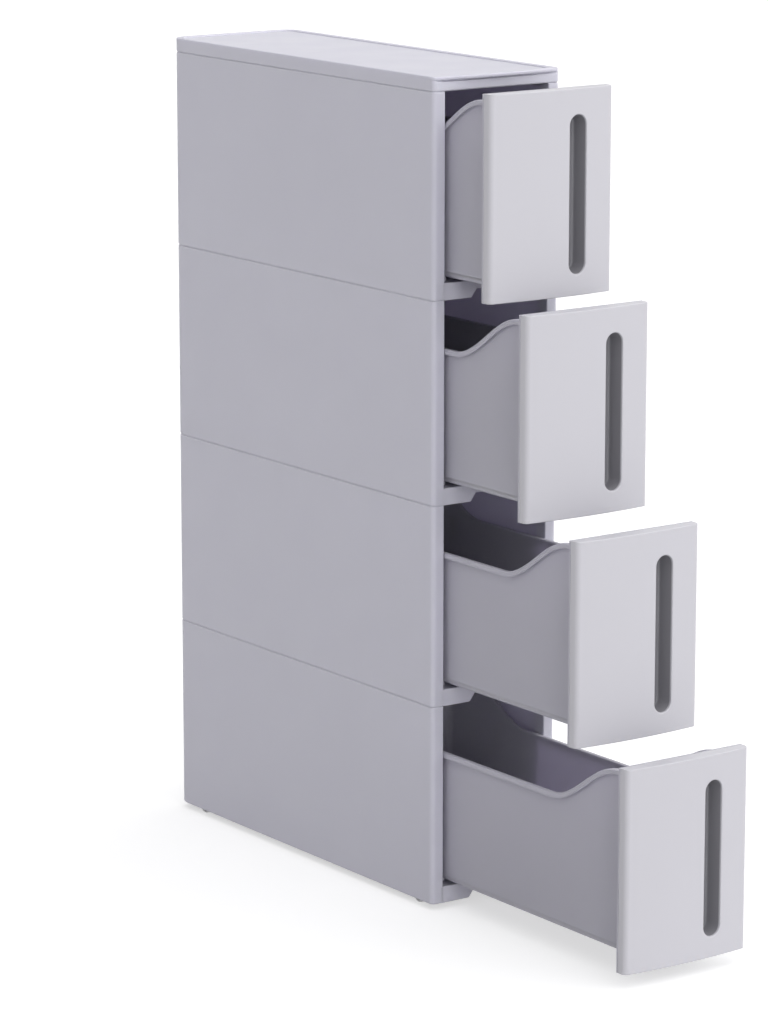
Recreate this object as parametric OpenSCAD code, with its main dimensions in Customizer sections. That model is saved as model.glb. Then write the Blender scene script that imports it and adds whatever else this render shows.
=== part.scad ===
// Slim storage tower on small wheels: four stacked one-piece casings under a lid, and a drawer in each.
// Millimetres. X runs across the front, Y to the back and Z up. The drawers stand part-way open.
// The origin is under the middle of the whole thing, on the floor.

/* [Casing] */
// Outside width of a casing
tower_w = 146; // [136:1:180]
// Outside depth of a casing
tower_d = 450; // [430:5:540]
// Height from one seam to the next
tier_h = 195; // [180:1:230]
// Thickness of the side and back walls
wall = 2.4; // [1.8:0.1:3.2]
// Radius of the upright corners at the back
back_corner_r = 16; // [8:0.5:22]
// Radius of the upright corners at the front
front_corner_r = 2.5; // [1:0.5:4]
// Depth of the groove that each seam leaves between two casings
seam_depth = 0.5; // [0.2:0.1:1]
// Height of each casing's half of that groove
seam_relief = 0.6; // [0.3:0.1:1.2]

/* [Casing front] */
// Width of the upright stile on each side of the opening
stile_w = 13; // [10:0.5:18]
// Thickness of the stiles and of the rail
frame_t = 3; // [2:0.2:5]
// How far each stile turns back into the casing
stile_return = 14; // [8:1:22]
// Thickness of that turned wall
return_t = 2; // [1.5:0.1:3]
// Height of the rail below the opening
rail_h = 16; // [15.5:0.5:18]
// Rise of the notch in the rail's lower edge
notch_rise = 8; // [4:0.5:11]
// Width of the notch at the rail's lower edge
notch_w = 58; // [40:1:80]
// Run of the notch's sloping ends
notch_slope = 6; // [3:0.5:12]

/* [Casing inside] */
// Height of the floor's underside above the casing's lower edge
floor_rise = 13; // [12.6:0.1:13.4]
// Thickness of the floor
floor_t = 2.2; // [1.6:0.1:2.6]
// Height of the upstand that the next casing drops over
upstand_h = 5; // [3:0.5:8]
// Thickness of the upstand
upstand_t = 1.8; // [1.2:0.1:2.4]
// Height over which the upstand is joined to the wall
upstand_root = 6; // [4:0.5:10]
// Gap between the upstand and the casing that drops over it
upstand_gap = 0.3; // [0.1:0.05:0.6]
// Width of the two runners that carry a bin
runner_w = 3; // [2:0.5:5]
// Distance from the edge of a bin's foot to its runner
runner_inset = 5; // [2:0.5:12]
// Thickness of the two ribs that guide a bin's foot
guide_t = 2; // [1.5:0.1:2.4]
// Height of a guide rib above the bottom of the foot
guide_h = 5; // [3:0.5:5.5]
// Gap between a guide rib and the foot
guide_gap = 0.8; // [0.4:0.1:1.2]
// Space left behind the ends of the runners and guide ribs
rib_end = 8; // [4:1:20]

/* [Lid] */
// Height of the lid above its seam
lid_h = 14; // [12:0.5:20]
// Thickness of the lid's plate
lid_plate_t = 2.4; // [1.8:0.1:3.2]
// Width of the raised border round the top
lid_border_w = 7.5; // [3:0.5:10]
// Height of the raised border
lid_border_h = 2; // [1:0.2:3]
// Thickness of the lip at the front
lid_lip_t = 3.3; // [2:0.1:5]
// How far the lip's middle stands out in front of the casings
lid_overhang = 6; // [3:0.5:10]
// Radius of the lip's two corners
lid_lip_r = 5; // [2:0.5:9]

/* [Drawer bin] */
// Height of the bin's bottom above the casing's lower edge
bin_rise = 20; // [18.5:0.5:23]
// Gap between the bin's bottom and its runners
slide_gap = 0.3; // [0.3:0.1:0.8]
// Gap between the bin's rim and a stile
side_gap = 1; // [0.8:0.1:2.5]
// Gap between the high ends of the rim and the casing above
top_gap = 3; // [1.5:0.5:6]
// Space behind a closed bin
back_gap = 22; // [8:1:40]
// Thickness of the bin's walls
bin_wall = 2; // [1.5:0.1:2.8]
// Thickness of the bin's bottom
bin_floor_t = 2.2; // [1.6:0.1:3]
// How much each side leans in from the rim to the bottom
bin_draft = 1; // [0:0.5:4]
// Radius of the bin's upright corners at the back
bin_corner_r = 8; // [6:0.5:16]
// How far the foot stands in from the sides
foot_inset = 2; // [1:0.5:4]
// Height of the foot
foot_h = 6; // [4:0.5:9]
// Radius along the foot's lower edges
foot_r = 3; // [1.5:0.5:3.5]
// Radius inside, where the sides meet the bottom
fillet_r = 4; // [2:0.5:12]

/* [Drawer rim] */
// Width of the rim that rolls outwards
rim_w = 3.5; // [2.5:0.1:5]
// Thickness of the rim
rim_t = 1.8; // [1.2:0.1:2.4]
// Depth of the rim's turned-down edge
rim_drop = 5; // [3:0.5:8]
// How far the rim falls from its high ends to its middle
rim_fall = 43.5; // [20:0.5:80]
// How much deeper the dip behind the front hump is
rim_dip = 0; // [0:0.5:8]
// Length of the S-curve at either end
curve_l = 100; // [60:2:120]
// Length over which the dip levels out
dip_l = 60; // [40:2:100]
// Length of the level stretch behind the drawer's front
front_level = 17; // [1:1:30]
// Length of the level stretch at the back
back_level = 20; // [8:1:30]

/* [Drawer stop] */
// Length of the bin that stays inside when the drawer is fully open
kept_inside = 120; // [80:5:145]
// How far a stop lug reaches behind its stile
lug_bite = 2.5; // [1.5:0.5:5]
// Thickness of a stop lug
lug_t = 5; // [3:0.5:9]
// Height of a stop lug
lug_h = 18; // [8:1:30]

/* [Drawer front] */
// How far the drawer's front stands in from the casing's sides
front_inset = 2; // [0:0.5:4]
// Gap between one drawer's front and the next
front_reveal = 3; // [2:0.5:6]
// Height of the front's lower edge above the casing's lower edge
front_rise = 8; // [5:0.5:9]
// Gap between a closed front and the casing
front_gap = 0.5; // [0.4:0.1:2]
// Depth of the cover at its middle
cover_d = 14; // [12.5:0.5:20]
// How far the cover's face bulges at its middle
cover_bow = 4; // [2:0.5:5]
// Thickness of the cover
cover_t = 2.4; // [1.8:0.1:3]
// Radius of the cover's upright edges
cover_r = 5; // [4:0.5:7]
// Thickness of the bin's front plate
plate_t = 2.2; // [1.8:0.1:3]
// Height of the plate's collar inside the cover
collar_h = 3; // [2:0.5:6]
// Thickness of the collar
collar_t = 1.6; // [1.2:0.1:2.4]
// Gap between the collar and the cover
collar_gap = 0.3; // [0.1:0.05:0.6]

/* [Handle slot] */
// Width of the slot
slot_w = 20; // [17:0.5:26]
// Distance from the cover's right edge to the middle of the slot
slot_inset = 43; // [28:0.5:60]
// Distance from the cover's top to the slot
slot_top = 24; // [16:1:40]
// Distance from the cover's bottom to the slot
slot_bottom = 20; // [16:1:40]
// Width of the slot's eased edge
slot_ease = 0.9; // [0.4:0.1:1.4]
// Depth of the grip from the middle of the cover's face to the bottom of the cup
grip_d = 19; // [18:0.5:24]
// Thickness of the cup behind the slot
cup_t = 1.6; // [1.2:0.1:2.4]
// Width of the cup's flange
cup_flange_w = 4; // [2.5:0.5:6]
// Gap between the cup and the window in the bin's front plate
window_gap = 0.8; // [0.2:0.1:0.8]

/* [Wheels] */
// Diameter of a wheel
wheel_d = 18; // [15:0.5:18.5]
// Width of a wheel
wheel_w = 9; // [6:0.5:12]
// Height of the lowest casing's edge above the floor
wheel_reach = 6; // [5.5:0.1:6.4]
// Distance from the casing's front to the front axles
front_axle = 32; // [24:1:60]
// Distance from the casing's back to the rear axles
rear_axle = 40; // [30:1:70]
// Thickness of the wheel's tread ring
tread_t = 1.7; // [1.2:0.1:2.2]
// Thickness of the wheel's web
web_t = 1.6; // [1:0.1:2.5]
// Diameter of the wheel's hub
hub_d = 8; // [7:0.2:9]
// Thickness of the wheel's ribs
spoke_t = 1; // [0.6:0.1:1.6]
// Number of ribs
spoke_count = 6; // [4:1:8]
// Depth of the hub and ribs below the tread's edge
hub_recess = 0.8; // [0.4:0.1:2]
// Bevel of the tread's edges
tread_bevel = 0.6; // [0.3:0.1:0.9]

/* [Axles] */
// Diameter of an axle
axle_d = 5; // [4:0.1:5.4]
// Gap all round between an axle and its wheel
axle_play = 0.08; // [0.05:0.01:0.1]
// Diameter of an axle's button head
button_d = 6.8; // [6:0.1:8]
// Thickness of the button head
button_t = 1.5; // [1:0.1:2.5]
// Thickness of each ear that holds an axle
ear_t = 2.2; // [1.6:0.1:3]
// Width of an ear from front to back
ear_w = 11; // [9:0.5:14]
// Gap between a wheel and an ear
wheel_gap = 0.5; // [0.3:0.1:1]
// Gap between an ear's seat and the axle
seat_gap = 0.05; // [0.02:0.01:0.1]
// Gap between a button head and its ear or the casing's wall
button_gap = 0.3; // [0.2:0.05:0.8]
// How far an ear ends above the casing's lower edge
ear_lift = 0.3; // [0.2:0.1:0.4]
// Width of the snap-in mouth below an axle
mouth_w = 4.2; // [3.4:0.1:4.6]

/* [Drawers as they stand] */
// How far the top drawer is pulled out
pull_1 = 71; // [0:1:280]
// How far the second drawer is pulled out
pull_2 = 128; // [0:1:280]
// How far the third drawer is pulled out
pull_3 = 205; // [0:1:280]
// How far the bottom drawer is pulled out
pull_4 = 280; // [0:1:280]

/* [Hidden] */
TIERS = [1, 2, 3, 4];
WHEELS = ["front_left", "front_right", "rear_left", "rear_right"];
$fn = 64;

casing_colour = [0.74, 0.73, 0.79];
bin_colour = [0.70, 0.70, 0.75];
front_colour = [0.85, 0.85, 0.87];
cup_colour = [0.42, 0.42, 0.43];
wheel_colour = [0.96, 0.96, 0.97];

// Overrun of every cut past the face that it goes through
cut = 1;
// Segments in each S-curve and in each rounded corner of a drawn section
curve_steps = 12;
corner_steps = 6;

pulls = [pull_1, pull_2, pull_3, pull_4];
half_w = tower_w / 2;
opening_w = tower_w - 2 * stile_w;
floor_top = floor_rise + floor_t;
travel = tower_d - kept_inside;

bin_l = tower_d - wall - back_gap;
bin_half = opening_w / 2 - side_gap - rim_w;
foot_half = bin_half - bin_draft - foot_inset;
rim_high = tier_h - bin_rise - top_gap;
rim_low = rim_high - rim_fall;
rim_valley = rim_low - rim_dip;
curve_end = bin_l - back_level;

front_w = tower_w - 2 * front_inset;
front_h = tier_h - front_reveal;
cover_radius = (pow(front_w / 2, 2) + pow(cover_bow, 2)) / (2 * cover_bow);
lid_radius = (pow(half_w, 2) + pow(lid_overhang, 2)) / (2 * lid_overhang);
slot_r = slot_w / 2;
slot_x = front_w / 2 - slot_inset;

axle_r = axle_d / 2;
wheel_r = wheel_d / 2;
axle_z = wheel_r;
ear_x = wheel_w / 2 + wheel_gap;
wheel_x = half_w - wall - 2 * button_gap - button_t - ear_t - ear_x;

// The whole thing is centred front to back over the floor that it takes up
reach = max(pulls) + front_gap + plate_t + cover_d;
centre_y = (reach - tower_d) / 2;

function tier_z(t) = wheel_reach + (len(TIERS) - t) * tier_h;
function ease(k) = (1 - cos(180 * k)) / 2;
function arc(x, y, r, from, to) =
    [for (i = [0:corner_steps]) let(a = from + (to - from) * i / corner_steps) [x + r * cos(a), y + r * sin(a)]];
function flipped(points) = [for (i = [len(points) - 1:-1:0]) [-points[i].x, points[i].y]];
function reversed(points) = [for (i = [len(points) - 1:-1:0]) points[i]];

// An S-curve from one point to another, level at both ends
function s_curve(from, to) =
    [for (i = [1:curve_steps]) let(k = i / curve_steps)
        [from.x + (to.x - from.x) * k, from.y + (to.y - from.y) * ease(k)]];

// The top edge of a bin's side: hump at the front, dip, long level, rise at the back
function rim_path(reach) = concat(
    [[-plate_t / 2, rim_high], [front_level, rim_high]],
    s_curve([front_level, rim_high], [front_level + curve_l, rim_valley]),
    s_curve([front_level + curve_l, rim_valley], [front_level + curve_l + dip_l, rim_low]),
    [[curve_end - curve_l, rim_low]],
    s_curve([curve_end - curve_l, rim_low], [curve_end, rim_high]),
    [[bin_l + reach, rim_high]]
);

// The same line moved square to itself, so that the rim has one thickness on the slopes too
function lowered(path, drop) =
    [for (i = [0:len(path) - 1])
        let(a = path[max(i - 1, 0)], b = path[min(i + 1, len(path) - 1)], d = b - a, n = norm(d))
        [path[i].x + drop * d.y / n * ((i == 0 || i == len(path) - 1) ? 0 : 1), path[i].y - drop * d.x / n]];

// Plan shapes. The casing's front plane is y = 0
module rounded_plan(half, front, back, r_front, r_back) {
    depth = back - front;
    translate([r_front - half, front]) square([2 * (half - r_front), depth - r_back]);
    translate([r_back - half, front + r_front]) square([2 * (half - r_back), depth - r_front]);
    translate([-half, front + r_front]) square([2 * half, depth - r_front - r_back]);
    for (side = [-1, 1]) {
        translate([side * (half - r_front), front + r_front]) circle(r_front);
        translate([side * (half - r_back), back - r_back]) circle(r_back);
    }
}

module casing_plan(inset) {
    rounded_plan(half_w - inset, inset, tower_d - inset, front_corner_r - inset, back_corner_r - inset);
}

module hollow_plan(inset = 0) {
    rounded_plan(half_w - wall - inset, frame_t + inset, tower_d - wall - inset,
        front_corner_r / 2, back_corner_r - wall - inset);
}

// A front that bulges along one wide arc and turns into the sides with radius r. Its back is y = 0
module bowed_plan(half, depth, bow_r, r) {
    corner_x = half - r;
    corner_y = bow_r - depth - sqrt(pow(bow_r - r, 2) - pow(corner_x, 2));
    tangent_x = corner_x * bow_r / (bow_r - r);
    intersection() {
        translate([0, bow_r - depth]) circle(bow_r, $fn = 720);
        translate([-tangent_x, -depth - cut]) square([2 * tangent_x, depth + cut]);
    }
    translate([-half, corner_y]) square([2 * half, -corner_y]);
    for (side = [-1, 1]) translate([side * corner_x, corner_y]) circle(r);
}

module slot_outline(r, from, to) {
    translate([-r, from + r]) square([2 * r, to - from - 2 * r]);
    for (y = [from + r, to - r]) translate([0, y]) circle(r);
}

// Extrudes an outline drawn across the front, from y = front to y = back
module along_y(front, back) {
    translate([0, back, 0]) rotate([90, 0, 0]) linear_extrude(back - front) children();
}

// Extrudes a side view, drawn as depth and height, across the width
module along_x(half) {
    translate([-half, 0, 0]) rotate([90, 0, 90]) linear_extrude(2 * half) children();
}

// Casing
module casing_body() {
    difference() {
        union() {
            linear_extrude(tier_h) casing_plan(seam_depth);
            translate([0, 0, seam_relief]) linear_extrude(tier_h - 2 * seam_relief) casing_plan(0);
        }
        translate([0, 0, floor_top]) linear_extrude(tier_h) hollow_plan();
        translate([0, 0, -cut]) linear_extrude(floor_rise + cut) hollow_plan();
        translate([-opening_w / 2, -cut, rail_h]) cube([opening_w, frame_t + 2 * cut, tier_h]);
        along_y(-cut, frame_t + cut) rail_notch();
    }
}

module rail_notch() {
    low = notch_w / 2;
    high = low - notch_slope;
    run_out = notch_slope * cut / notch_rise;
    polygon([[-low - run_out, -cut], [-high, notch_rise], [high, notch_rise], [low + run_out, -cut]]);
}

module stile_returns() {
    for (side = [-1, 1])
        translate([side * (opening_w + return_t) / 2 - return_t / 2, frame_t / 2, floor_rise])
            cube([return_t, stile_return - frame_t / 2, tier_h - floor_rise]);
}

module upstand() {
    outer = upstand_gap;
    inner = upstand_gap + upstand_t;
    intersection() {
        union() {
            translate([0, 0, tier_h - upstand_root]) linear_extrude(upstand_root) difference() {
                hollow_plan(-wall / 2);
                hollow_plan(inner);
            }
            translate([0, 0, tier_h - upstand_root]) linear_extrude(upstand_root + upstand_h) difference() {
                hollow_plan(outer);
                hollow_plan(inner);
            }
        }
        translate([-half_w, stile_return + frame_t, 0]) cube([tower_w, tower_d, tier_h + upstand_h]);
    }
}

module runners() {
    start = stile_return + frame_t;
    length = tower_d - wall - rib_end - start;
    guide_top = bin_rise + guide_h;
    for (side = [-1, 1]) {
        translate([side * (foot_half - runner_inset) - runner_w / 2, start, floor_rise])
            cube([runner_w, length, bin_rise - slide_gap - floor_rise]);
        translate([side * (foot_half + guide_gap + guide_t / 2) - guide_t / 2, start, floor_rise])
            cube([guide_t, length, guide_top - floor_rise]);
    }
}

// Two ears with snap-in seats under the lowest floor, one on each side of a wheel
module axle_ears(side, y) {
    seat_z = axle_z - wheel_reach;
    seat_r = axle_r + seat_gap;
    for (s = [-1, 1])
        translate([side * wheel_x + s * (ear_x + ear_t / 2) - ear_t / 2, y, 0]) difference() {
            translate([0, -ear_w / 2, ear_lift]) cube([ear_t, ear_w, floor_rise - ear_lift + floor_t / 2]);
            translate([-cut, 0, seat_z]) rotate([0, 90, 0]) cylinder(r = seat_r, h = ear_t + 2 * cut);
            translate([-cut, -mouth_w / 2, ear_lift - cut]) cube([ear_t + 2 * cut, mouth_w, seat_z - ear_lift + cut]);
        }
}

module casing(t) {
    color(casing_colour) translate([0, centre_y, tier_z(t)]) {
        casing_body();
        stile_returns();
        upstand();
        runners();
        if (t == len(TIERS))
            for (side = [-1, 1], y = [front_axle, tower_d - rear_axle]) axle_ears(side, y);
    }
}

// Lid
module lid() {
    plate_z = lid_h - lid_border_h - lid_plate_t;
    color(casing_colour) translate([0, centre_y, tier_z(1) + tier_h]) difference() {
        union() {
            linear_extrude(lid_h - seam_relief) casing_plan(seam_depth);
            translate([0, 0, seam_relief]) linear_extrude(lid_h - seam_relief) casing_plan(0);
            translate([0, 0, lid_h - lid_lip_t]) linear_extrude(lid_lip_t) lip_plan(0);
        }
        translate([0, 0, -cut]) linear_extrude(plate_z + cut) hollow_plan();
        translate([0, 0, lid_h - lid_border_h]) linear_extrude(lid_border_h + cut) intersection() {
            lip_plan(lid_border_w);
            rounded_plan(half_w - lid_border_w, lid_border_w - lid_overhang, tower_d - lid_border_w,
                front_corner_r / 2, back_corner_r - lid_border_w);
        }
    }
}

// The lid's top seen from above, with its bowed front
module lip_plan(inset) {
    depth = tower_d / 2;
    translate([0, depth - inset]) bowed_plan(half_w - inset, depth + lid_overhang - 2 * inset,
        lid_radius - inset, max(lid_lip_r - inset, front_corner_r / 2));
    rounded_plan(half_w - inset, depth - 2 * back_corner_r, tower_d - inset, front_corner_r / 2,
        back_corner_r - inset);
}

// Drawer bin. Its own y = 0 is the back of its front plate, and z = 0 is its bottom
function bin_section() = let(
    shoulder = foot_half + foot_inset + bin_draft * foot_h / rim_high,
    right = concat(arc(foot_half - foot_r, foot_r, foot_r, -90, 0),
        [[foot_half, foot_h], [shoulder, foot_h], [bin_half, rim_high], [bin_half, rim_high + cut]]))
    concat(right, flipped(right));

function bin_hollow_section() = let(
    low_half = foot_half + foot_inset - bin_wall,
    right = concat(arc(low_half - fillet_r, bin_floor_t + fillet_r, fillet_r, -90, 0),
        [[bin_half - bin_wall, rim_high], [bin_half - bin_wall, rim_high + cut]]))
    concat(right, flipped(right));

module bin_side_view() {
    back = bin_l;
    foot_back = bin_l - foot_inset;
    polygon(concat(rim_path(0), [[back, foot_h], [foot_back, foot_h]],
        reversed(arc(foot_back - foot_r, foot_r, foot_r, -90, 0)), [[-plate_t / 2, 0]]));
}

module bin_walls() {
    intersection() {
        linear_extrude(rim_high) rounded_plan(bin_half, -plate_t, bin_l, foot_r, bin_corner_r);
        along_y(-plate_t / 2, bin_l + cut) polygon(bin_section());
        along_x(bin_half + cut) bin_side_view();
    }
}

module bin_hollow() {
    intersection() {
        translate([0, 0, bin_floor_t]) linear_extrude(rim_high)
            rounded_plan(bin_half - bin_wall, 0, bin_l - bin_wall, foot_r, bin_corner_r - bin_wall);
        along_y(0, bin_l + cut) polygon(bin_hollow_section());
    }
}

// The rolled rim: a flange outwards from the wall, with a turned-down edge
module bin_rim() {
    outer = bin_half + rim_w;
    top = rim_path(rim_w + cut);
    intersection() {
        linear_extrude(rim_high + cut) difference() {
            rounded_plan(outer, -plate_t / 2, bin_l + rim_w, foot_r, bin_corner_r + rim_w);
            rounded_plan(bin_half - bin_wall / 2, -plate_t, bin_l - bin_wall / 2, foot_r,
                bin_corner_r - bin_wall / 2);
        }
        along_x(outer + cut) polygon(concat(top, reversed(lowered(top, rim_t))));
    }
    intersection() {
        linear_extrude(rim_high + cut) difference() {
            rounded_plan(outer, -plate_t / 2, bin_l + rim_w, foot_r, bin_corner_r + rim_w);
            rounded_plan(outer - rim_t, -plate_t, bin_l + rim_w - rim_t, foot_r, bin_corner_r + rim_w - rim_t);
        }
        along_x(outer + cut) polygon(concat(top, reversed(lowered(top, rim_drop))));
    }
}

// Lugs that meet the stiles' turned walls when the drawer is fully open
module stop_lugs() {
    tip = opening_w / 2 + lug_bite;
    root = bin_half - bin_draft - bin_wall / 2;
    for (side = [-1, 1])
        translate([side * (tip + root) / 2 - (tip - root) / 2, travel + stile_return + front_gap + slide_gap,
            rim_valley - rim_drop - lug_h])
            cube([tip - root, lug_t, lug_h + rim_drop - rim_t]);
}

// The plate that closes the bin at the front, with the collar that the cover is pressed over
module front_plate() {
    low = front_rise - bin_rise;
    collar_half = front_w / 2 - cover_t - collar_gap;
    collar_low = low + cover_t + collar_gap;
    collar_high = low + front_h - cover_t - collar_gap;
    translate([-front_w / 2, -plate_t, low]) cube([front_w, plate_t, front_h]);
    difference() {
        translate([-collar_half, -plate_t - collar_h, collar_low])
            cube([2 * collar_half, plate_t / 2 + collar_h, collar_high - collar_low]);
        translate([collar_t - collar_half, -plate_t - collar_h - cut, collar_low + collar_t])
            cube([2 * (collar_half - collar_t), collar_h + cut, collar_high - collar_low - 2 * collar_t]);
    }
}

module drawer_place(t) {
    translate([0, centre_y - front_gap - pulls[t - 1], tier_z(t)]) children();
}

module drawer_bin(t) {
    color(bin_colour) drawer_place(t) translate([0, 0, bin_rise]) difference() {
        union() {
            difference() {
                union() {
                    bin_walls();
                    bin_rim();
                    stop_lugs();
                }
                bin_hollow();
            }
            front_plate();
        }
        handle_window();
    }
}

// The window in the front plate that the handle cup passes through
module handle_window() {
    translate([0, 0, front_rise - bin_rise]) slot_cut(slot_r + cup_t + window_gap, -plate_t - cut, cut);
}

// Drawer front: a bowed cover, hollow behind, with the handle slot. Its back is y = 0
module cover_plan(inset) {
    bowed_plan(front_w / 2 - inset, cover_d - inset, cover_radius - inset, cover_r - inset);
}

module slot_cut(r, front, back) {
    translate([slot_x, 0, 0]) along_y(front, back)
        slot_outline(r, slot_bottom - (r - slot_r), front_h - slot_top + (r - slot_r));
}

// The slot's eased edge, a bevel that follows the straight sides and the round ends
module slot_edge() {
    face_y = cover_radius - cover_d - sqrt(pow(cover_radius, 2) - pow(slot_x, 2));
    wide = slot_r + 2 * slot_ease;
    deep = 2 * slot_ease;
    low = slot_bottom + slot_r;
    high = front_h - slot_top - slot_r;
    translate([slot_x, face_y - slot_ease, 0]) {
        for (z = [low, high]) translate([0, 0, z]) rotate([-90, 0, 0]) cylinder(r1 = wide, r2 = slot_r, h = deep);
        translate([0, 0, low]) linear_extrude(high - low)
            polygon([[-wide, 0], [wide, 0], [slot_r, deep], [-slot_r, deep]]);
    }
}

module drawer_front(t) {
    color(front_colour) drawer_place(t) translate([0, -plate_t, front_rise]) difference() {
        linear_extrude(front_h) cover_plan(0);
        translate([0, 0, cover_t]) linear_extrude(front_h - 2 * cover_t) {
            cover_plan(cover_t);
            translate([cover_t - front_w / 2, -cover_t]) square([front_w - 2 * cover_t, cover_t + cut]);
        }
        slot_cut(slot_r, -cover_d - cut, 0);
        slot_edge();
    }
}

// Handle cup: a grey tub behind the slot, with a flange that lies on the back of the cover. It is deeper
// than the cover and passes through the window in the bin's front plate
module handle_cup(t) {
    bottom_y = grip_d - cover_d;
    color(cup_colour) drawer_place(t) translate([0, -plate_t, front_rise]) difference() {
        union() {
            intersection() {
                slot_cut(slot_r + cup_t, -cover_d, bottom_y + cup_t);
                linear_extrude(front_h) {
                    cover_plan(cover_t);
                    translate([cover_t - front_w / 2, -cover_t]) square([front_w - 2 * cover_t, cover_d + cover_t]);
                }
            }
            intersection() {
                slot_cut(slot_r + cup_flange_w, -cover_d, 0);
                linear_extrude(front_h) difference() {
                    cover_plan(cover_t);
                    cover_plan(cover_t + cup_t);
                }
            }
        }
        slot_cut(slot_r, -cover_d - cut, bottom_y);
    }
}

// Wheels and axles. Each turns about X; side is -1 for left and 1 for right
function wheel_side(i) = (i % 2 == 0) ? -1 : 1;
function wheel_y(i) = (i < 2) ? front_axle : tower_d - rear_axle;

module wheel_place(i) {
    translate([wheel_side(i) * wheel_x, centre_y + wheel_y(i), axle_z]) rotate([0, 90, 0]) children();
}

module wheel(i) {
    hub_w = wheel_w - 2 * hub_recess;
    color(wheel_colour) wheel_place(i) {
        difference() {
            union() {
                rotate_extrude() tread_section();
                cylinder(d = hub_d, h = hub_w, center = true);
                cylinder(r = wheel_r - tread_t / 2, h = web_t, center = true);
                for (k = [0:spoke_count - 1]) rotate([0, 0, k * 360 / spoke_count])
                    translate([0, -spoke_t / 2, -hub_w / 2]) cube([wheel_r - tread_t / 2, spoke_t, hub_w]);
            }
            cylinder(r = axle_r + axle_play, h = wheel_w + 2 * cut, center = true);
        }
    }
}

module tread_section() {
    inner = wheel_r - tread_t;
    edge = wheel_w / 2;
    polygon([[inner, -edge], [wheel_r - tread_bevel, -edge], [wheel_r, tread_bevel - edge],
        [wheel_r, edge - tread_bevel], [wheel_r - tread_bevel, edge], [inner, edge]]);
}

module axle(i) {
    inner_end = ear_x + ear_t + button_gap;
    side = wheel_side(i);
    color(wheel_colour) wheel_place(i) {
        cylinder(r = axle_r, h = 2 * inner_end, center = true);
        translate([0, 0, side * (inner_end + button_t / 2)]) cylinder(d = button_d, h = button_t, center = true);
    }
}

lid();
for (t = TIERS) {
    casing(t);
    drawer_bin(t);
    drawer_front(t);
    handle_cup(t);
}
for (i = [0:len(WHEELS) - 1]) {
    wheel(i);
    axle(i);
}
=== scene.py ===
"""Slim bathroom storage tower: four stacked casings under a lid, four pull-out drawers and four small wheels.

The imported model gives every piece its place. Each piece of the tower is made again here as a moulded surface
with rounded edges, and gets its plastic. Lengths inside the functions are in millimetres."""

import math

import bpy
import numpy as np
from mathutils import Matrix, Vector


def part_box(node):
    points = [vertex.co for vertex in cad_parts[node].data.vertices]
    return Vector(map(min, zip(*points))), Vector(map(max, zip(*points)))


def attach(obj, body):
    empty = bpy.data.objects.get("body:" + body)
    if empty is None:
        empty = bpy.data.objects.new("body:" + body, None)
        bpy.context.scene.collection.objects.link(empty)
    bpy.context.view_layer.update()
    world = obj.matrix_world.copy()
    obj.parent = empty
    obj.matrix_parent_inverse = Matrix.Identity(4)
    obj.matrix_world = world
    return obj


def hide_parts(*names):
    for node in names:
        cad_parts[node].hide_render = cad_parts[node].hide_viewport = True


bl_info = {
    "name": "Storage Tower",
    "version": (1, 0, 0),
    "blender": (4, 5, 0),
    "location": "View3D > Sidebar > Storage Tower",
    "description": "Builds the moulded pieces, plastics and studio of a slim drawer tower",
    "category": "Object",
}

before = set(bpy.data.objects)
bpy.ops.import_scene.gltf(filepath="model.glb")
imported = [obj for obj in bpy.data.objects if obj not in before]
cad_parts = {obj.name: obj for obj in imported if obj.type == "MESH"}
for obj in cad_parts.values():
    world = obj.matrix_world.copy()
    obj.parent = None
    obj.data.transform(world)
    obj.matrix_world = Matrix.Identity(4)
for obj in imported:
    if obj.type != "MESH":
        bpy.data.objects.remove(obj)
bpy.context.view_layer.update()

MM = 1000.0
QUARTER = math.pi / 2
TIERS = (1, 2, 3, 4)
WHEELS = ("front_left", "front_right", "rear_left", "rear_right")
SHARP_EDGE = math.radians(38.0)
UPSTAND, CUP_WALL = 5.0, 1.6


# Sizes and colours


class TowerSizes(bpy.types.PropertyGroup):
    """Sizes of the moulded details"""

    wall: bpy.props.FloatProperty(
        name="Wall", description="Thickness of the casings' walls", default=0.0024, unit="LENGTH")
    stile: bpy.props.FloatProperty(
        name="Stile", description="Width of the stiles beside each opening", default=0.013, unit="LENGTH")
    seam: bpy.props.FloatProperty(
        name="Seam", description="Depth of the groove between two tiers", default=0.0009, unit="LENGTH")
    front_round: bpy.props.FloatProperty(
        name="Casing front rounding", description="Radius of the casings' upright front edges",
        default=0.0045, unit="LENGTH")
    back_round: bpy.props.FloatProperty(
        name="Casing back rounding", description="Radius of the casings' upright back edges",
        default=0.016, unit="LENGTH")
    lid_overhang: bpy.props.FloatProperty(
        name="Lid overhang", description="How far the lid's lip bows out at the middle",
        default=0.006, unit="LENGTH")
    rim_width: bpy.props.FloatProperty(
        name="Rim width", description="How far a bin's rim stands out from its wall",
        default=0.0035, unit="LENGTH")
    rim_drop: bpy.props.FloatProperty(
        name="Rim drop", description="Height of the rim's turned-down edge", default=0.005, unit="LENGTH")
    cover_bow: bpy.props.FloatProperty(
        name="Front bow", description="How far a drawer front bulges", default=0.004, unit="LENGTH")
    cover_round: bpy.props.FloatProperty(
        name="Front edge rounding", description="Radius of a drawer front's upright edges",
        default=0.005, unit="LENGTH")
    slot_radius: bpy.props.FloatProperty(
        name="Slot radius", description="Radius of the handle slot's ends", default=0.010, unit="LENGTH")
    slot_ease: bpy.props.FloatProperty(
        name="Slot easing", description="Rounding of the handle slot's edge", default=0.0011, unit="LENGTH")


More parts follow.
